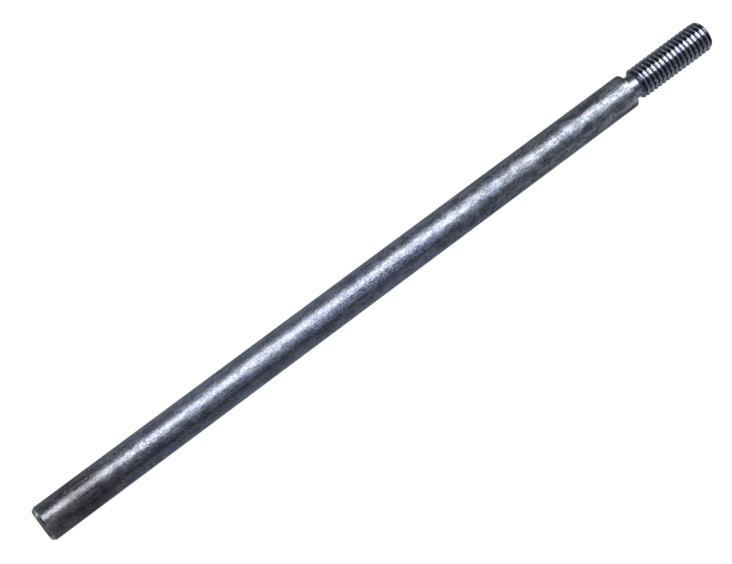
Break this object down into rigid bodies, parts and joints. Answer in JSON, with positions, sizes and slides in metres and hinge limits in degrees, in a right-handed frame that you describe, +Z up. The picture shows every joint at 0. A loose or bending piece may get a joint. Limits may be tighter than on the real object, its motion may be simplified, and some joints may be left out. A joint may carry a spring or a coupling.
{
  "type": "drill paint mixer shaft",
  "caption": "Straight round steel driving shaft with a plain chuck end and a threaded stud at a square shoulder, for a screw-on paint mixing head.",
  "frame": {"origin": "centre of the flat end face that goes into the drill's chuck, on the shaft's axis", "axes": "+X along the shaft from the chuck end to the thread, +Z up with the shaft lying level, +Y to the left when looking along +X"},
  "size_m": [0.1898, 0.0086, 0.0086],
  "materials": {
    "dull_steel": "drawn steel bar with a dull, finely mottled surface and light lengthwise marks",
    "bright_steel": "bright machined and thinly plated steel"
  },
  "bodies": {
    "root": {"shaft_rod": "dull_steel", "threaded_stud": "bright_steel"}
  },
  "joints": []
}
